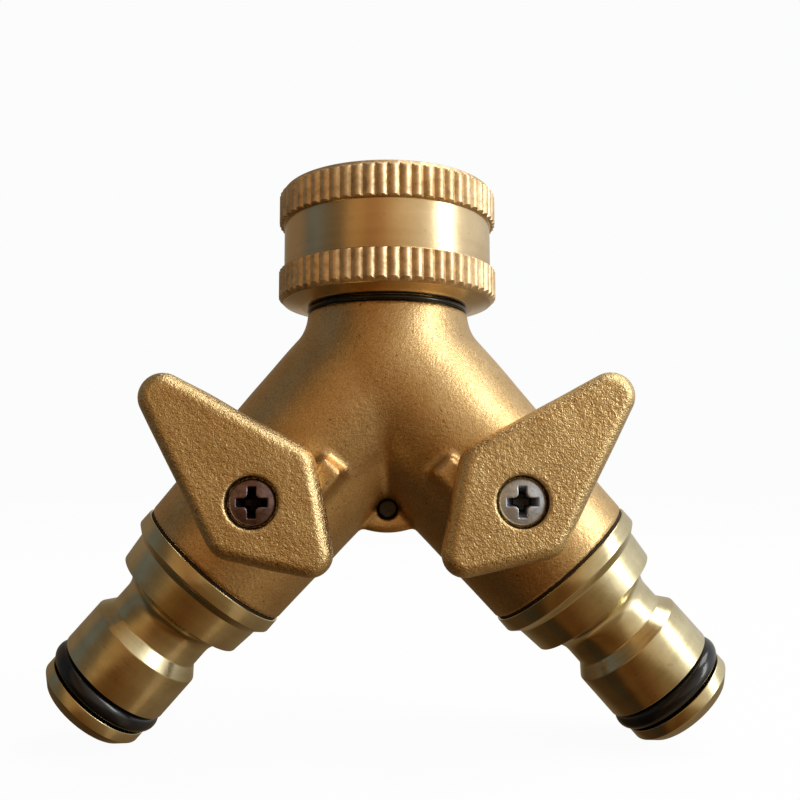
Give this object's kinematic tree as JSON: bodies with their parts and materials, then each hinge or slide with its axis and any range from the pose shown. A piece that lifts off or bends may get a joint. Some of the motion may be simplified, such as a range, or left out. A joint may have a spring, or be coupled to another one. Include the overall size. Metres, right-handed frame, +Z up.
{
  "type": "hose splitter",
  "caption": "Y-shaped brass hose splitter with a knurled swivel inlet nut, quarter-turn lever ball valves and click-connector outlet nipples.",
  "frame": {"origin": "centre of the inlet nut's mouth, in the plane of its top rim", "axes": "+Z up out of the nut along its axis, +X to the right towards the right outlet, -Y towards the handles"},
  "size_m": [0.0978, 0.0364, 0.0808],
  "materials": {
    "cast_brass": "sand-blasted casting",
    "nut_brass": "turned and knurled",
    "turned_brass": "turned, polished",
    "lever_brass": "coarse sand casting",
    "rubber": "glossy black rubber",
    "fibre": "dark fibre gasket",
    "seat_plastic": "white fluoroplastic",
    "plated_ball": "chrome-plated brass",
    "dark_screw": "dark burnished steel",
    "zinc_screw": "bright zinc-plated steel"
  },
  "bodies": {
    "splitter": {"valve_body": "cast_brass", "swivel_tailpiece": "turned_brass", "inlet_washer": "rubber", "neck_oring": "rubber", "left_inner_seat": "seat_plastic", "left_outer_seat": "seat_plastic", "left_nipple": "turned_brass", "left_nipple_gasket": "fibre", "left_outlet_oring": "rubber", "right_inner_seat": "seat_plastic", "right_outer_seat": "seat_plastic", "right_nipple": "turned_brass", "right_nipple_gasket": "fibre", "right_outlet_oring": "rubber"},
    "nut": {"inlet_nut": "nut_brass"},
    "left_valve": {"left_ball": "plated_ball", "left_stem": "turned_brass", "left_stem_oring": "rubber", "left_thrust_washer": "seat_plastic", "left_handle": "lever_brass", "left_handle_screw": "dark_screw"},
    "right_valve": {"right_ball": "plated_ball", "right_stem": "turned_brass", "right_stem_oring": "rubber", "right_thrust_washer": "seat_plastic", "right_handle": "lever_brass", "right_handle_screw": "zinc_screw"}
  },
  "joints": [
    {"name": "nut_swivel", "type": "hinge", "parent": "splitter", "child": "nut", "pos_m": [0, 0, 0], "axis": [0, 0, 1], "continuous": true},
    {"name": "left_lever_turn", "type": "hinge", "parent": "splitter", "child": "left_valve", "pos_m": [-0.01723, 0, -0.04647], "axis": [0, -1, 0], "range_deg": [0, 90]},
    {"name": "right_lever_turn", "type": "hinge", "parent": "splitter", "child": "right_valve", "pos_m": [0.01723, 0, -0.04647], "axis": [0, 1, 0], "range_deg": [0, 90]}
  ]
}
